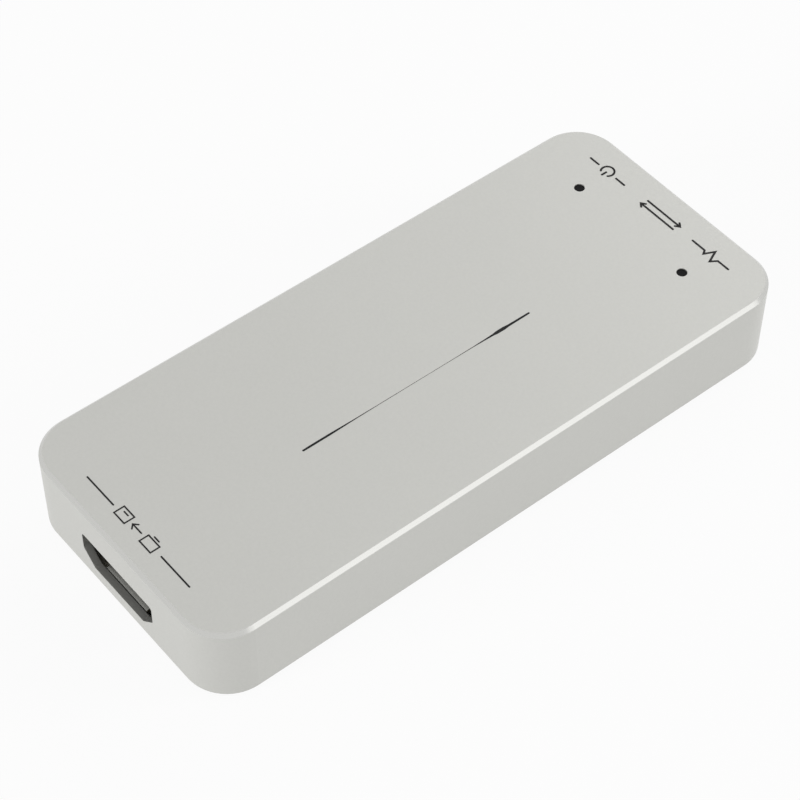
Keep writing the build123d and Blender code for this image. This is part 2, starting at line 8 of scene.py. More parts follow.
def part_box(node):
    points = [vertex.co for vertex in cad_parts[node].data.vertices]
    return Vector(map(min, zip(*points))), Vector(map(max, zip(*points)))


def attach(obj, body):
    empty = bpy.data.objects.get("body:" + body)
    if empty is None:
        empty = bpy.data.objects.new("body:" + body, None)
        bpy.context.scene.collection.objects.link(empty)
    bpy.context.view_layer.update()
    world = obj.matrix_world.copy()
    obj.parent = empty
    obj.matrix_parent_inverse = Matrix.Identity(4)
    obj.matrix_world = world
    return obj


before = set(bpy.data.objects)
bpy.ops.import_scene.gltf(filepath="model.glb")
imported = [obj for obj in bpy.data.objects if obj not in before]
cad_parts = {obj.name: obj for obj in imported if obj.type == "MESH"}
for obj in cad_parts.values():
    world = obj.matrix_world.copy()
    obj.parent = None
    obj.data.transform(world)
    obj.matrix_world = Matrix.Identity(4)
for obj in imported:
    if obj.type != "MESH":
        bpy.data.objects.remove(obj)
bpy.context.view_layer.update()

# Dresses the video capture box: finishes for every CAD piece, the marks printed on its top, and
# the studio round it. Objects are in metres, in the same frame as the CAD. Measures of the box,
# its marks and its patterns are written in millimetres.

MM = 0.001

# Measures of the case: its end and top from the frame, rounded to a micrometre, and the size of
# the chamfer round its top
case_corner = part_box("housing")[1] / MM
CASE_END = round(case_corner.x, 3)
CASE_TOP = round(case_corner.z, 3)
CHAMFER = 0.5

# Camera: fitted to the photograph's straight edges and corners

# Angles are in degrees, and azimuths are counted from +X. Lens and sensor are in millimetres, and
# the two clip distances in metres.
CAMERA_PLACE = Vector((-137.24, -164.22, 258.16)) * MM
CAMERA_AZIMUTH = -129.365
CAMERA_ELEVATION = 49.745
CAMERA_ROLL = 0.41
LENS = 109.46
SENSOR = 36.0
CLIP_NEAR = 0.01
CLIP_FAR = 20


def direction(azimuth, elevation):
    """The unit vector that points that way, from angles in degrees."""
    azimuth = radians(azimuth)
    elevation = radians(elevation)
    return Vector((cos(azimuth) * cos(elevation), sin(azimuth) * cos(elevation), sin(elevation)))


def add_camera():
    """The camera, turned by its roll about the line that it looks along."""
    back = direction(CAMERA_AZIMUTH, CAMERA_ELEVATION)
    level = direction(CAMERA_AZIMUTH + 90, 0)
    upright = back.cross(level)
    roll = radians(CAMERA_ROLL)
    right = level * cos(roll) + upright * sin(roll)
    up = upright * cos(roll) - level * sin(roll)
    data = bpy.data.cameras.new("camera")
    data.sensor_width = SENSOR
    data.lens = LENS
    data.clip_start = CLIP_NEAR
    data.clip_end = CLIP_FAR
    camera = bpy.data.objects.new("camera", data)
    axes = Matrix((right, up, back)).transposed().to_4x4()
    camera.matrix_world = Matrix.Translation(CAMERA_PLACE) @ axes
    bpy.context.scene.collection.objects.link(camera)
    bpy.context.scene.camera = camera


add_camera()

# Shader helpers

# The middle of a number that runs from 0 to 1, as noise does
MIDDLE = 0.5

# Numbers of the Mix node's sockets for colours, as several of its sockets share a name
MIX_SHARE = 0
MIX_LOW = 6
MIX_HIGH = 7
MIX_COLOUR = 2

# A pattern that isn't drawn out along any axis
EVEN = (1.0, 1.0, 1.0)


def shade_of(colour, share):
    """The colour made darker, or lighter up to white."""
    return tuple(min(1.0, c * share) for c in colour)


class Value:
    """A number that changes over a surface. Sums on it add their Math nodes."""

    def __init__(self, shades, socket):
        self.shades = shades
        self.socket = socket

    def __add__(self, other):
        return self.shades.maths("ADD", self, other)

    def __radd__(self, other):
        return self.shades.maths("ADD", other, self)

    def __sub__(self, other):
        return self.shades.maths("SUBTRACT", self, other)

    def __rsub__(self, other):
        return self.shades.maths("SUBTRACT", other, self)

    def __mul__(self, other):
        return self.shades.maths("MULTIPLY", self, other)

    def __rmul__(self, other):
        return self.shades.maths("MULTIPLY", other, self)

    def __truediv__(self, other):
        return self.shades.maths("DIVIDE", self, other)

    def __rtruediv__(self, other):
        return self.shades.maths("DIVIDE", other, self)

    def __abs__(self):
        return self.shades.maths("ABSOLUTE", self)

    def clamped(self):
        """The number kept between 0 and 1."""
        return self.shades.maths("ADD", self, 0.0, clamp=True)

    def above(self, edge, softness):
        """0 under the edge and 1 over it, with a slope as wide as the softness between them."""
        return ((self - edge) / softness + MIDDLE).clamped()

    def below(self, edge, softness):
        """1 under the edge and 0 over it."""
        return 1 - self.above(edge, softness)

    def swing(self, amount):
        """How far noise is from its middle, times that amount."""
        return (self - MIDDLE) * amount


class Shades:
    """The nodes of a material or of the world. Patterns lie on object coordinates."""

    def __init__(self, tree):
        self.tree = tree

    def node(self, kind, settings=None, inputs=None):
        """A node of that kind: its settings first, then its sockets' values or links."""
        node = self.tree.nodes.new(kind)
        for name, value in (settings or {}).items():
            setattr(node, name, value)
        for name, value in (inputs or {}).items():
            self.put(node.inputs[name], value)
        return node

    def put(self, inlet, value):
        """Links a value or a socket to an inlet, or sets a plain number or colour there."""
        if isinstance(value, Value):
            value = value.socket
        if isinstance(value, bpy.types.NodeSocket):
            self.tree.links.new(value, inlet)
        elif inlet.type == "RGBA":
            inlet.default_value = (*value[:3], 1.0)
        else:
            inlet.default_value = value

    def maths(self, operation, *values, clamp=False):
        """The result of one Math node."""
        settings = {"operation": operation, "use_clamp": clamp}
        maths = self.node("ShaderNodeMath", settings, dict(enumerate(values)))
        return Value(self, maths.outputs[0])

    def mixed(self, share, low, high):
        """Colour that goes from low to high as the share goes from 0 to 1."""
        inputs = {MIX_SHARE: share, MIX_LOW: low, MIX_HIGH: high}
        return self.node("ShaderNodeMix", {"data_type": "RGBA"}, inputs).outputs[MIX_COLOUR]

    def mottled(self, tone, colour, darkest, lightest):
        """Colour that goes from its darkest share to its lightest. A tone of 0 is halfway."""
        share = (tone + MIDDLE).clamped()
        return self.mixed(share, shade_of(colour, darkest), shade_of(colour, lightest))

    def layered(self, share, under, over):
        """Shader that goes from one to the other as the share goes from 0 to 1."""
        return self.node("ShaderNodeMixShader", None, {0: share, 1: under, 2: over}).outputs[0]

    def place(self, stretch=EVEN):
        """Object coordinates in millimetres, drawn out along the axes."""
        inputs = {
            0: self.node("ShaderNodeTexCoord").outputs["Object"],
            1: tuple(1 / MM / s for s in stretch),
        }
        return self.node("ShaderNodeVectorMath", {"operation": "MULTIPLY"}, inputs).outputs[0]

    def part(self, vector, axis):
        """One component of a vector."""
        return Value(self, self.node("ShaderNodeSeparateXYZ", None, {0: vector}).outputs[axis])

    def along(self, axis):
        """One coordinate of the place, in millimetres."""
        return self.part(self.place(), axis)

    def facing(self, axis):
        """One component of the direction that the surface faces."""
        return self.part(self.node("ShaderNodeTexCoord").outputs["Normal"], axis)

    def noise(self, size, detail=2.0, roughness=0.5, stretch=EVEN):
        """Noise from 0 to 1, with grains of that size in millimetres."""
        inputs = {
            "Vector": self.place(stretch),
            "Scale": 1 / size,
            "Detail": detail,
            "Roughness": roughness,
        }
        return Value(self, self.node("ShaderNodeTexNoise", None, inputs).outputs["Fac"])

    def cells(self, size):
        """Distance from the middle of the nearest of scattered cells, as a share of their size."""
        inputs = {"Vector": self.place(), "Scale": 1 / size}
        return Value(self, self.node("ShaderNodeTexVoronoi", None, inputs).outputs["Distance"])

    def seen_as_background(self):
        """1 for rays that show the background: from the camera, off gloss or through glass."""
        rays = self.node("ShaderNodeLightPath").outputs
        camera = Value(self, rays["Is Camera Ray"])
        glossy = Value(self, rays["Is Glossy Ray"])
        through = Value(self, rays["Is Transmission Ray"])
        return (camera + glossy + through).clamped()


class Finish(Shades):
    """One material, with its constants set on the shader's sockets."""

    def __init__(self, name, constants=None):
        self.material = bpy.data.materials.new(name)
        self.material.use_nodes = True
        super().__init__(self.material.node_tree)
        self.shader = self.tree.nodes["Principled BSDF"]
        for socket, value in (constants or {}).items():
            self.put(self.shader.inputs[socket], value)

    def made(self, colour, rough, relief, depth, metal=None):
        """The material with these fed to its shader. The relief is that deep, in millimetres."""
        self.put(self.shader.inputs["Base Color"], colour)
        self.put(self.shader.inputs["Roughness"], rough.clamped())
        if metal is not None:
            self.put(self.shader.inputs["Metallic"], metal)
        inputs = {"Strength": 1.0, "Distance": depth * MM, "Height": relief}
        bump = self.node("ShaderNodeBump", None, inputs)
        self.put(self.shader.inputs["Normal"], bump.outputs[0])
        return self.material


# Finishes

CASE_COLOUR = (0.572, 0.572, 0.545)
COVER_COLOUR = (0.548, 0.548, 0.523)
EDGE_COLOUR = (0.570, 0.570, 0.550)
# Colour of the painted shade on the walls inside the openings
OPENING_PAINTED_SHADE = (0.350, 0.350, 0.332)
CASE_METAL = 0.6
CASE_ROUGHNESS = 0.46
BLAST_GRAIN = 0.16
BLAST_DEPTH = 0.006

# The bright chamfer is found by its height, with a fade just under it, and by its slope, which is
# halfway between sideways and up, give or take the slack
CHAMFER_FADE = 0.02
CHAMFER_SLOPE = cos(pi / 4)
CHAMFER_SLACK = 0.2

# The painted shade on the walls of the openings is placed by where they are: deeper than the end
# faces, near the middle, and clear of the case's rim and top
OPENING_DEPTH = 0.05
OPENING_REACH = 14.0
OPENING_CLEARANCE = 1.0


def blasted_case(name):
    """Bead-blasted aluminium: a bright chamfer round its top, and painted shade on the walls in
    its openings.
    """
    finish = Finish(name)
    grain = finish.noise(BLAST_GRAIN, detail=3.0, roughness=0.6)
    speck = finish.noise(0.45)
    broad = finish.noise(18.0)
    chamfer_foot = CASE_TOP - CHAMFER - CHAMFER_FADE
    level = finish.along("Z").above(chamfer_foot, softness=CHAMFER_FADE)
    slope = abs(finish.facing("Z") - CHAMFER_SLOPE).below(CHAMFER_SLACK, softness=0.05)
    edge = level * slope
    tone = broad.swing(0.5) + speck.swing(0.9) + grain.swing(0.7)
    satin = finish.mottled(tone, CASE_COLOUR, darkest=0.965, lightest=1.035)
    deep = abs(finish.along("X")).below(CASE_END - OPENING_DEPTH, softness=0.04)
    near = abs(finish.along("Y")).below(OPENING_REACH, softness=0.1)
    over_rim = finish.along("Z").above(OPENING_CLEARANCE, softness=0.1)
    under_top = finish.along("Z").below(CASE_TOP - OPENING_CLEARANCE, softness=0.1)
    # Painted shade: the walls inside the openings are darkened to stand for the shade that falls
    # there
    painted_shade = deep * near * over_rim * under_top
    satin_and_shade = finish.mixed(painted_shade, satin, OPENING_PAINTED_SHADE)
    colour = finish.mixed(edge, satin_and_shade, EDGE_COLOUR)
    blasted = grain.swing(0.10) + broad.swing(0.05) + CASE_ROUGHNESS
    polished = finish.noise(0.5, stretch=(14.0, 14.0, 1.0)) * 0.08 + 0.20
    rough = blasted * (1 - edge) + polished * edge
    metal = edge * (1 - CASE_METAL) + CASE_METAL
    return finish.made(colour, rough, grain * (1 - edge), BLAST_DEPTH, metal)


def blasted_cover(name):
    """The cover's plate: the same blasting, a shade darker, with faint rubbed streaks."""
    finish = Finish(name, {"Metallic": CASE_METAL})
    grain = finish.noise(BLAST_GRAIN, detail=3.0, roughness=0.6)
    rubbed = finish.noise(9.0, detail=3.0, stretch=(2.0, 1.0, 1.0))
    tone = rubbed.swing(0.8) + grain.swing(0.8)
    colour = finish.mottled(tone, COVER_COLOUR, darkest=0.95, lightest=1.04)
    rough = grain.swing(0.10) + rubbed.swing(0.10) + CASE_ROUGHNESS
    return finish.made(colour, rough, grain, BLAST_DEPTH)


def plated(name, colour, rough, drawn, spread=0.12):
    """Plated sheet or wire, with fine lines drawn out along the axes and a little tarnish."""
    finish = Finish(name, {"Metallic": 1.0})
    lines = finish.noise(0.12, detail=3.0, stretch=drawn)
    tarnish = finish.noise(1.8, detail=3.0)
    tone = lines.swing(0.8) + tarnish.swing(0.8)
    tint = finish.mottled(tone, colour, 1 - spread, 1 + spread / 2)
    return finish.made(tint, lines.swing(0.16) + tarnish.swing(0.2) + rough, lines, depth=0.003)


# How many grains wide the patches of tone on a moulding are
PATCH_GRAINS = 30


def moulded(name, colour, rough, grain_size, depth, spread=0.2):
    """Moulded plastic or rubber: a fine eroded texture and slight changes of tone."""
    finish = Finish(name)
    grain = finish.noise(grain_size, detail=3.0, roughness=0.6)
    broad = finish.noise(grain_size * PATCH_GRAINS)
    tone = grain.swing(0.7) + broad.swing(0.8)
    tint = finish.mottled(tone, colour, 1 - spread, 1 + spread)
    return finish.made(tint, grain.swing(0.16) + broad.swing(0.06) + rough, grain, depth)


SOLDER_MASK = (0.012, 0.085, 0.035)
MASKED_COPPER = (0.022, 0.150, 0.060)
GILT_HOLE = (0.62, 0.47, 0.20)
DARK_LAMINATE = (0.30, 0.26, 0.12)
LIGHT_LAMINATE = (0.42, 0.38, 0.19)
COPPER_RUN = 1.4
HOLE_PITCH = 2.1


def board_laminate(name):
    """Circuit board: green mask over copper runs and gilt holes, with a bare tan rim."""
    finish = Finish(name)
    inputs = {
        "Vector": finish.place(),
        "Scale": 1 / COPPER_RUN,
        "Mortar Size": 0.10,
        "Mortar Smooth": 0.2,
    }
    runs = Value(finish, finish.node("ShaderNodeTexBrick", None, inputs).outputs["Fac"])
    broad = finish.noise(7.0)
    masked = finish.mixed(runs * broad.above(0.45, softness=0.1), SOLDER_MASK, MASKED_COPPER)
    holes = finish.cells(HOLE_PITCH).below(0.14, softness=0.03) * broad.above(0.5, softness=0.05)
    flat = abs(finish.facing("Z")).above(0.6, softness=0.1)
    face = finish.mixed(holes, masked, GILT_HOLE)
    layers = finish.noise(0.3, stretch=(4.0, 4.0, 1.0))
    rim = finish.mixed(layers, DARK_LAMINATE, LIGHT_LAMINATE)
    rough = finish.noise(0.8) * 0.12 + (1 - flat) * 0.4 + 0.24
    colour = finish.mixed(flat, rim, face)
    return finish.made(colour, rough, runs, depth=0.02, metal=holes * flat)


CHIP_DARK = (0.016, 0.016, 0.018)
CHIP_LIGHT = (0.040, 0.040, 0.044)


def chip_moulding(name):
    """Chip body: fine black moulding compound with faint smears."""
    finish = Finish(name)
    grain = finish.noise(0.09, detail=3.0, roughness=0.65)
    smear = finish.noise(2.5, detail=3.0, stretch=(3.0, 1.0, 1.0))
    tone = grain.swing(0.9) + smear.swing(0.6) + MIDDLE
    colour = finish.mixed(tone.clamped(), CHIP_DARK, CHIP_LIGHT)
    return finish.made(colour, grain.swing(0.2) + smear.swing(0.1) + 0.5, grain, depth=0.012)


TIN_DARK = (0.58, 0.58, 0.58)
TIN_LIGHT = (0.76, 0.76, 0.75)


def tinned_blocks(name, axis, row, bare_half, body, body_rough):
    """Small blocks with tinned ends, in rows at that distance on both sides of zero."""
    finish = Finish(name)
    ends = abs(abs(finish.along(axis)) - row).above(bare_half, softness=0.03)
    grain = finish.noise(0.12, detail=3.0)
    bare = finish.mixed(grain, shade_of(body, 0.8), body)
    tin = finish.mixed(grain, TIN_DARK, TIN_LIGHT)
    rough = ends * (grain * 0.2 + 0.22) + (1 - ends) * body_rough
    return finish.made(finish.mixed(ends, bare, tin), rough, grain, depth=0.008, metal=ends)


CAN_DARK = (0.66, 0.66, 0.67)
CAN_LIGHT = (0.80, 0.80, 0.81)
CAN_PRINT = (0.02, 0.02, 0.022)

# The print on a can starts at this share of its width, and goes this far down from its top
CAN_PRINT_SHARE = 0.68
CAN_PRINT_DEPTH = 0.03


def capacitor_can(name, node):
    """Aluminium can of a capacitor, with the dark printed part of its top."""
    low, high = (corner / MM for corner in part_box(node))
    finish = Finish(name)
    lines = finish.noise(0.15, detail=3.0, stretch=(1.0, 1.0, 6.0))
    print_start = low.x + CAN_PRINT_SHARE * (high.x - low.x)
    sector = finish.along("X").above(print_start, softness=0.04)
    dark = sector * finish.along("Z").above(high.z - CAN_PRINT_DEPTH, softness=0.02)
    metal = finish.mixed(lines, CAN_DARK, CAN_LIGHT)
    colour = finish.mixed(dark, metal, CAN_PRINT)
    rough = lines.swing(0.14) + dark * 0.2 + 0.3
    return finish.made(colour, rough, lines, depth=0.004, metal=1 - dark)


def milled_block(name, colour):
    """Milled metal with the overlapping arcs that a cutter leaves."""
    finish = Finish(name, {"Metallic": 1.0})
    inputs = {"Vector": finish.place(), "Scale": 0.7, "Distortion": 0.6, "Detail": 2.0}
    wave = finish.node("ShaderNodeTexWave", {"wave_type": "RINGS"}, inputs)
    arcs = Value(finish, wave.outputs["Fac"])
    fine = finish.noise(0.1, stretch=(8.0, 1.0, 1.0))
    tint = finish.mixed(arcs * 0.5 + fine * 0.5, shade_of(colour, 0.86), colour)
    rough = arcs * 0.10 + fine * 0.08 + 0.22
    return finish.made(tint, rough, arcs * 0.6 + fine * 0.4, depth=0.006)


SILICONE_DARK = (0.36, 0.42, 0.52)
SILICONE_LIGHT = (0.50, 0.55, 0.64)
SILICONE_FILLER = (0.72, 0.74, 0.78)


def silicone_pad(name):
    """Thermal pad: soft grey-blue silicone with grains of filler."""
    finish = Finish(name, {"Subsurface Weight": 0.05})
    grain = finish.noise(0.2, detail=4.0, roughness=0.7)
    filler = finish.cells(0.35).below(0.2, softness=0.1)
    soft = finish.mixed(grain, SILICONE_DARK, SILICONE_LIGHT)
    colour = finish.mixed(filler * 0.4, soft, SILICONE_FILLER)
    return finish.made(colour, grain * 0.2 + 0.6, grain, depth=0.02)


SMOKE_DARK = (0.002, 0.002, 0.002)
SMOKE_LIGHT = (0.006, 0.006, 0.007)


def smoked_pipe(name):
    """Smoked plastic of the light pipes: black while unlit, with faint flow marks."""
    finish = Finish(name, {"IOR": 1.49, "Specular IOR Level": 0.12})
    flow = finish.noise(1.2, detail=3.0, stretch=(1.0, 1.0, 3.0))
    grain = finish.noise(0.12)
    colour = finish.mixed(flow, SMOKE_DARK, SMOKE_LIGHT)
    return finish.made(colour, flow * 0.10 + grain * 0.08 + 0.45, grain, depth=0.002)


CUP_DARK = (0.78, 0.78, 0.74)
CUP_LIGHT = (0.88, 0.88, 0.84)
LAMP_YELLOW = (0.85, 0.72, 0.18)
LAMP_GILT = (0.78, 0.60, 0.26)

# Half the length and width of a lamp's yellow middle, and where its gilt ends start
YELLOW_ALONG = 0.3
YELLOW_ACROSS = 0.2
GILT_START = 0.62


def lamp_resin(name, node):
    """Small lamp: clear resin over a white cup with a yellow middle, and gilt ends."""
    low, high = (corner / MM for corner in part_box(node))
    finish = Finish(name, {"Coat Weight": 0.5})
    along = abs(finish.along("X") - (low.x + high.x) / 2)
    across = abs(finish.along("Y") - (low.y + high.y) / 2)
    yellow = along.below(YELLOW_ALONG, softness=0.12) * across.below(YELLOW_ACROSS, softness=0.1)
    gilt = along.above(GILT_START, softness=0.04)
    grain = finish.noise(0.1)
    cup = finish.mixed(grain, CUP_DARK, CUP_LIGHT)
    body = finish.mixed(yellow, cup, LAMP_YELLOW)
    colour = finish.mixed(gilt, body, LAMP_GILT)
    return finish.made(colour, grain * 0.15 + 0.2, grain, depth=0.004, metal=gilt)


INK_DARK = (0.006, 0.006, 0.006)
INK_THIN = (0.028, 0.028, 0.028)


def screen_ink(name):
    """Printed ink: near black, a little thin where the grain under it stands up."""
    finish = Finish(name, {"Specular IOR Level": 0.2})
    grain = finish.noise(BLAST_GRAIN, detail=3.0, roughness=0.6)
    patch = finish.noise(2.2, detail=3.0)
    thin = grain.swing(0.6) + patch.swing(0.8) + 0.4
    colour = finish.mixed(thin.clamped(), INK_DARK, INK_THIN)
    return finish.made(colour, grain.swing(0.2) + 0.55, grain, depth=0.004)


NICKEL = (0.36, 0.36, 0.34)
GILT = (0.83, 0.63, 0.27)
ZINC = (0.30, 0.30, 0.31)
TIN = (0.68, 0.68, 0.68)
CRYSTAL_LID = (0.72, 0.71, 0.67)
MILLED_METAL = (0.74, 0.74, 0.73)
RUBBER = (0.030, 0.030, 0.031)
FILM = (0.030, 0.030, 0.032)
BLACK_PLASTIC = (0.022, 0.022, 0.023)
BLUE_PLASTIC = (0.020, 0.105, 0.50)
FERRITE = (0.075, 0.075, 0.080)
CERAMIC = (0.46, 0.34, 0.22)
GLAZE = (0.025, 0.025, 0.03)

# How far the fine lines of sheet and wire are drawn out along the box
ALONG_BOX = (12.0, 1.0, 1.0)

# Rows of the small capacitors and resistors, from their outer ends less half of their length
CAPACITOR_HALF = 0.8
RESISTOR_HALF = 0.5
CAPACITOR_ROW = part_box("chip_capacitors")[1].x / MM - CAPACITOR_HALF
RESISTOR_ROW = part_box("chip_resistors")[1].y / MM - RESISTOR_HALF

# Finish of each node whose name starts so. Every other node is a black chip.
FINISHES = {
    "housing": blasted_case("case_aluminium"),
    "bottom_cover": blasted_cover("cover_aluminium"),
    "cover_screws": plated("dark_zinc", ZINC, rough=0.36, drawn=EVEN, spread=0.25),
    "foot": moulded("black_rubber", RUBBER, rough=0.78, grain_size=0.14, depth=0.03),
    "insulating_sheet": moulded(
        "black_film", FILM, rough=0.42, grain_size=0.30, depth=0.004, spread=0.15
    ),
    "main_board": board_laminate("green_board"),
    "video_socket_shell": plated("nickel_video", NICKEL, rough=0.27, drawn=ALONG_BOX),
    "data_socket_shell": plated("nickel_data", NICKEL, rough=0.27, drawn=ALONG_BOX),
    "video_socket_tongue": moulded(
        "black_insulator", BLACK_PLASTIC, rough=0.45, grain_size=0.10, depth=0.006
    ),
    "data_socket_tongue": moulded(
        "blue_insulator", BLUE_PLASTIC, rough=0.40, grain_size=0.10, depth=0.006, spread=0.12
    ),
    "video_socket_contacts": plated("gilt_video", GILT, rough=0.22, drawn=ALONG_BOX),
    "data_socket_contacts": plated("gilt_data", GILT, rough=0.22, drawn=ALONG_BOX),
    "receiver_leads": plated("tinned_lead", TIN, rough=0.34, drawn=EVEN),
    "clock_crystal": plated("crystal_lid", CRYSTAL_LID, rough=0.24, drawn=ALONG_BOX),
    "filter_capacitor_can_left": capacitor_can("can_left", "filter_capacitor_can_left"),
    "filter_capacitor_can_right": capacitor_can("can_right", "filter_capacitor_can_right"),
    "power_coil": moulded(
        "coil_ferrite", FERRITE, rough=0.62, grain_size=0.11, depth=0.015, spread=0.25
    ),
    "chip_capacitors": tinned_blocks(
        "capacitor_ceramic", "X", CAPACITOR_ROW, bare_half=0.50, body=CERAMIC, body_rough=0.35
    ),
    "chip_resistors": tinned_blocks(
        "resistor_glaze", "Y", RESISTOR_ROW, bare_half=0.28, body=GLAZE, body_rough=0.30
    ),
    "power_lamp": lamp_resin("power_resin", "power_lamp"),
    "status_lamp": lamp_resin("status_resin", "status_lamp"),
    "power_light_pipe": smoked_pipe("smoked_power"),
    "status_light_pipe": smoked_pipe("smoked_status"),
    "lower_thermal_pad": silicone_pad("pad_lower"),
    "upper_thermal_pad": silicone_pad("pad_upper"),
    "heat_block": milled_block("milled_aluminium", MILLED_METAL),
}
chip_black = chip_moulding("chip_black")

for node_name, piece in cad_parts.items():
    fitting = [start for start in FINISHES if node_name.startswith(start)]
    material = FINISHES[max(fitting, key=len)] if fitting else chip_black
    for slot in piece.material_slots:
        slot.material = material

# Marks printed on the top: plain bars and pictograms, a hair proud of the metal

# A mark is drawn in millimetres, to the right and up as it is read from the data end. All lines
# but the long hairline have one of three widths. A share of the width rounds their ends.
INK_HEIGHT = 0.015
BAR = 0.24
FINE = 0.22
BOLD = 0.32
ROUND_SHARE = 0.45
ROUND_STEPS = 4
ink = screen_ink("screen_ink")


def print_mark(name, x, y, draw):
    """Draws a flat mark, gives it the ink's height and lays it on the case round x and y."""
    mesh = bmesh.new()
    draw(mesh)
    bmesh.ops.recalc_face_normals(mesh, faces=mesh.faces)
    grown = bmesh.ops.extrude_face_region(mesh, geom=mesh.faces[:])["geom"]
    top = [g for g in grown if isinstance(g, bmesh.types.BMVert)]
    bmesh.ops.translate(mesh, verts=top, vec=(0, 0, INK_HEIGHT))
    laid = Matrix.Translation((x, y, CASE_TOP)) @ Matrix.Rotation(pi / 2, 4, "Z")
    bmesh.ops.transform(mesh, verts=mesh.verts, matrix=Matrix.Scale(MM, 4) @ laid)
    bmesh.ops.recalc_face_normals(mesh, faces=mesh.faces)
    data = bpy.data.meshes.new(name)
    mesh.to_mesh(data)
    mesh.free()
    data.materials.append(ink)
    mark = bpy.data.objects.new(name, data)
    bpy.context.scene.collection.objects.link(mark)
    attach(mark, "root")


def round_ends(mesh, corners, width):
    """Rounds the two corners at an end of a line."""
    bmesh.ops.bevel(
        mesh, geom=corners, offset=width * ROUND_SHARE, offset_type="OFFSET", segments=ROUND_STEPS,
        profile=0.5, affect="VERTICES", material=-1,
    )


def line(mesh, points, widths):
    """A line of ink: an edge across its start, extruded from point to point, with round ends."""
    points = [Vector((*point, 0)) for point in points]
    if not isinstance(widths, tuple):
        widths = (widths,) * len(points)
    steps = [(b - a).normalized() for a, b in zip(points, points[1:])]
    pairs = []
    for point, width, behind, ahead in zip(points, widths, steps[:1] + steps, steps + steps[-1:]):
        along = (behind + ahead).normalized()
        side = Vector((-along.y, along.x, 0)) * width / 2 / along.dot(ahead)
        if pairs:
            grown = bmesh.ops.extrude_edge_only(mesh, edges=[edge])["geom"]
            new_edges = [g for g in grown if isinstance(g, bmesh.types.BMEdge)]
            edge = next(e for e in new_edges if set(e.verts) <= set(grown))
            pair = sorted(edge.verts, key=lambda vert: (vert.co - pairs[-1][0].co).length)
            pair[0].co, pair[1].co = point + side, point - side
        else:
            pair = [mesh.verts.new(point + side), mesh.verts.new(point - side)]
            edge = mesh.edges.new(pair)
        pairs.append(pair)
    round_ends(mesh, pairs[0], widths[0])
    round_ends(mesh, pairs[-1], widths[-1])


def frame_line(mesh, left, bottom, right, top, width):
    """A rectangle of ink lines: a plate inset by the line's width, with its middle taken out."""
    middle = Matrix.Translation(((left + right) / 2, (bottom + top) / 2, 0))
    size = Matrix.Diagonal((right - left + width, top - bottom + width, 1, 1))
    made = bmesh.ops.create_grid(mesh, x_segments=1, y_segments=1, size=0.5, matrix=middle @ size)
    plate = made["verts"][0].link_faces[:]
    bmesh.ops.inset_individual(mesh, faces=plate, thickness=width, use_even_offset=True)
    bmesh.ops.delete(mesh, geom=plate, context="FACES_ONLY")


def open_ring(mesh, centre, radius, start, sweep, steps, width):
    """A ring with a gap: an edge across the line, spun through the sweep in degrees."""
    centre = Vector((*centre, 0))
    turn = Matrix.Rotation(radians(start), 3, "Z")
    inner = mesh.verts.new(centre + turn @ Vector((radius - width / 2, 0, 0)))
    outer = mesh.verts.new(centre + turn @ Vector((radius + width / 2, 0, 0)))
    spun = bmesh.ops.spin(
        mesh, geom=[inner, outer, mesh.edges.new((inner, outer))], cent=centre, axis=(0, 0, 1),
        angle=radians(sweep), steps=steps, use_merge=False,
    )
    last = [g for g in spun["geom_last"] if isinstance(g, bmesh.types.BMVert)]
    round_ends(mesh, [inner, outer], width)
    round_ends(mesh, last, width)


# The bars on both sides of the input's pictogram, from start to end
INPUT_BARS = ((11.08, 5.03), (-5.24, -11.45))


def input_bars(mesh):
    """Two plain bars in line with each other."""
    for start, end in INPUT_BARS:
        line(mesh, ((start, 0), (end, 0)), BAR)


# The input's pictogram. Screen and box are given by their left, bottom, right and top.
SCREEN = (-4.1, -0.55, -1.7, 0.9)
SCREEN_FOOT = ((-3.5, -0.95), (-2.3, -0.95))
ARROW_SHAFT = ((-1.0, 0), (0.85, 0))
ARROW_HEAD = ((0.35, 0.6), (1.0, 0), (0.35, -0.6))
BOX = (1.75, -0.8, 4.0, 0.8)
BOX_SLOT = ((2.35, -0.3), (3.4, -0.3))


def input_pictogram(mesh):
    """A screen, an arrow and a box: pictures go in here."""
    frame_line(mesh, *SCREEN, FINE)
    line(mesh, SCREEN_FOOT, FINE)
    line(mesh, ARROW_SHAFT, FINE)
    line(mesh, ARROW_HEAD, FINE)
    frame_line(mesh, *BOX, FINE)
    line(mesh, BOX_SLOT, FINE)


# The ends of the long hairline, and its width at shares of its length
HAIRLINE_START = Vector((-2.94, 21.2))
HAIRLINE_END = Vector((-3.08, -17.62))
HAIRLINE_WIDTHS = {
    0: 0.28, 0.03: 0.33, 0.12: 0.32, 0.16: 0.24, 0.22: 0.14,
    0.32: 0.07, 0.5: 0.045, 0.64: 0.05, 0.74: 0.09, 0.80: 0.21,
    0.835: 0.33, 0.85: 0.51, 0.88: 0.53, 0.905: 0.36, 1: 0.28,
}


def middle_line(mesh):
    """The long hairline: full at both ends and almost gone in the middle."""
    points = [HAIRLINE_START.lerp(HAIRLINE_END, share) for share in HAIRLINE_WIDTHS]
    line(mesh, points, tuple(HAIRLINE_WIDTHS.values()))


# The power mark. Its ring starts and sweeps by degrees, and leaves a gap at the top for the bar.
RING_CENTRE = (0, -0.05)
RING_RADIUS = 0.98
RING_START = 128
RING_SWEEP = 284
RING_STEPS = 28
RING_BAR = ((0, 0.1), (0, 1.2))
DASH_START = 1.7
DASH_END = 3.7


def power_mark(mesh):
    """An open ring with a bar, between two dashes."""
    open_ring(mesh, RING_CENTRE, RING_RADIUS, RING_START, RING_SWEEP, RING_STEPS, BOLD)
    line(mesh, RING_BAR, BOLD)
    for side in (-1, 1):
        line(mesh, ((side * DASH_START, 0), (side * DASH_END, 0)), BOLD)


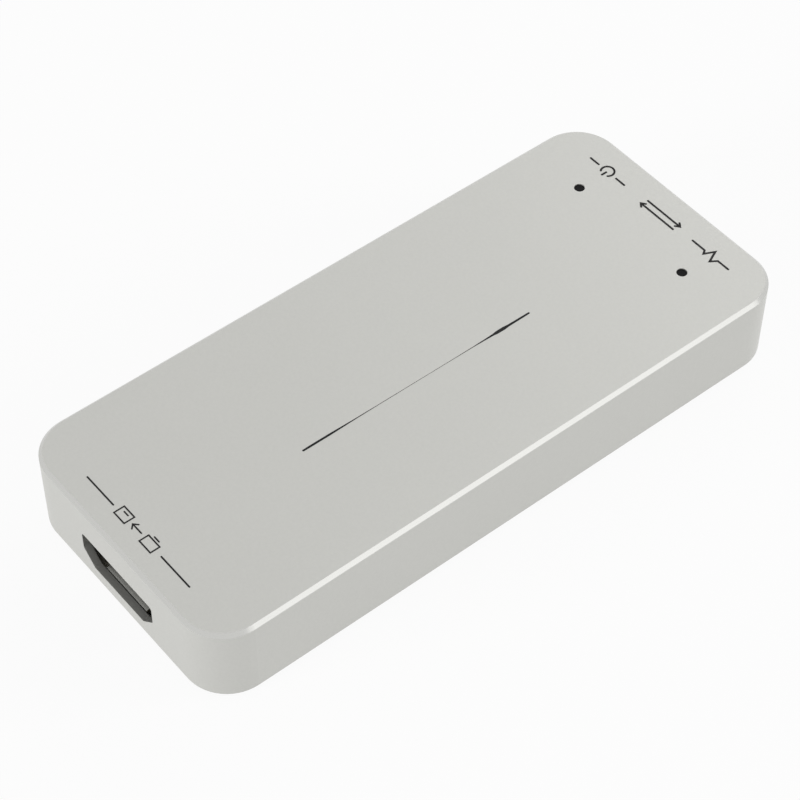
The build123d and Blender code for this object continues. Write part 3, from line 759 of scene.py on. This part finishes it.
# The upper of the two data arrows. The other is the same, turned half round.
DATA_SHAFT = ((3.2, 0.55), (-3.3, 0.55))
DATA_HEAD = ((2.75, 1.1), (3.45, 0.55), (2.75, 0))


def data_mark(mesh):
    """Two opposite arrows: data goes both ways here."""
    for side in (-1, 1):
        for points in (DATA_SHAFT, DATA_HEAD):
            line(mesh, [(side * across, side * up) for across, up in points], BOLD)


PULSE = ((-3.7, 0), (-1.5, 0), (-0.85, 0.95), (0, -0.95), (0.75, 0.6), (1.15, 0), (3.7, 0))


def status_mark(mesh):
    """A level line with one pulse in it."""
    line(mesh, PULSE, BOLD)


# Where each mark's own zero lies on the top, and the function that draws it
MARKS = {
    "input_bars": (3.73 - CASE_END, 0, input_bars),
    "input_pictogram": (3.9 - CASE_END, 0.1, input_pictogram),
    "middle_line": (0, 0, middle_line),
    "power_mark": (CASE_END - 4.75, 10.55, power_mark),
    "data_mark": (CASE_END - 4.8, -0.6, data_mark),
    "status_mark": (CASE_END - 4.7, -10.65, status_mark),
}
for mark_name, (mark_x, mark_y, draw_mark) in MARKS.items():
    print_mark(mark_name, mark_x, mark_y, draw_mark)

# Studio: pale floor, white surroundings and soft lights

# How far the floor reaches from the middle to each side in metres, how many panels it has along
# a side, and how far under the feet it lies, in millimetres
FLOOR_REACH = 6.0
FLOOR_PANELS = 8
FLOOR_DROP = 0.05

# Grey of the paper, how far it varies each way, and the size of its mottle in millimetres
FLOOR_SHADE = 0.86
FLOOR_SWING = 0.004
FLOOR_MOTTLE = 4.0

# Share of white in the floor, for the rays that show the background, and the light of the
# surroundings on the object, where 1 is white
FLOOR_GLOW = 0.92
WORLD_LEVEL = 0.50
WHITE = (1, 1, 1)

# Azimuth and elevation of each light in degrees, its side in metres, its watts, and whether
# gloss shows it. All of them stand at one distance, in metres.
LIGHTS = {
    "left": (172, 12, 0.40, 8.0, False),
    "front": (322, 15, 0.40, 6.0, False),
    "front_edge": (299, 27, 0.75, 1.0, True),
    "right": (20, 24, 0.90, 2.6, True),
}
LIGHT_DISTANCE = 1.2


def add_floor():
    """Matt white paper, clear from below. Rays that show the background see it as nearly white."""
    mesh = bmesh.new()
    lowered = Matrix.Translation((0, 0, -FLOOR_DROP * MM))
    bmesh.ops.create_grid(
        mesh, x_segments=FLOOR_PANELS, y_segments=FLOOR_PANELS, size=FLOOR_REACH, matrix=lowered
    )
    data = bpy.data.meshes.new("floor")
    mesh.to_mesh(data)
    mesh.free()
    finish = Finish("floor_paper", {"Roughness": 0.9, "Specular IOR Level": 0.0})
    shades = [(FLOOR_SHADE + step,) * 3 for step in (-FLOOR_SWING, FLOOR_SWING)]
    mottle = finish.mixed(finish.noise(FLOOR_MOTTLE), *shades)
    finish.put(finish.shader.inputs["Base Color"], mottle)
    white = finish.node("ShaderNodeEmission", None, {"Color": WHITE, "Strength": 1.0})
    glow = finish.seen_as_background() * FLOOR_GLOW
    paper = finish.layered(glow, finish.shader.outputs[0], white.outputs[0])
    from_below = finish.node("ShaderNodeNewGeometry").outputs["Backfacing"]
    clear = finish.node("ShaderNodeBsdfTransparent")
    sheet = finish.layered(from_below, paper, clear.outputs[0])
    finish.put(finish.tree.nodes["Material Output"].inputs["Surface"], sheet)
    data.materials.append(finish.material)
    floor = bpy.data.objects.new("floor", data)
    bpy.context.scene.collection.objects.link(floor)


def add_surroundings():
    """Even light from all round. Rays that show the background see it as white."""
    world = bpy.data.worlds.new("surroundings")
    bpy.context.scene.world = world
    world.use_nodes = True
    shades = Shades(world.node_tree)
    sky = shades.tree.nodes["Background"]
    strength = shades.seen_as_background() * (1 - WORLD_LEVEL) + WORLD_LEVEL
    shades.put(sky.inputs["Color"], WHITE)
    shades.put(sky.inputs["Strength"], strength)


def add_light(name, azimuth, elevation, side, watts, in_gloss):
    """A square lamp that faces the box."""
    data = bpy.data.lights.new(name, "AREA")
    data.shape = "SQUARE"
    data.size = side
    data.energy = watts
    away = direction(azimuth, elevation)
    light = bpy.data.objects.new(name, data)
    turn = away.to_track_quat("Z", "Y").to_matrix().to_4x4()
    light.matrix_world = Matrix.Translation(away * LIGHT_DISTANCE) @ turn
    light.visible_glossy = in_gloss
    bpy.context.scene.collection.objects.link(light)


add_floor()
add_surroundings()
for light_name, settings in LIGHTS.items():
    add_light(light_name, *settings)
bpy.context.scene.view_settings.view_transform = "Standard"
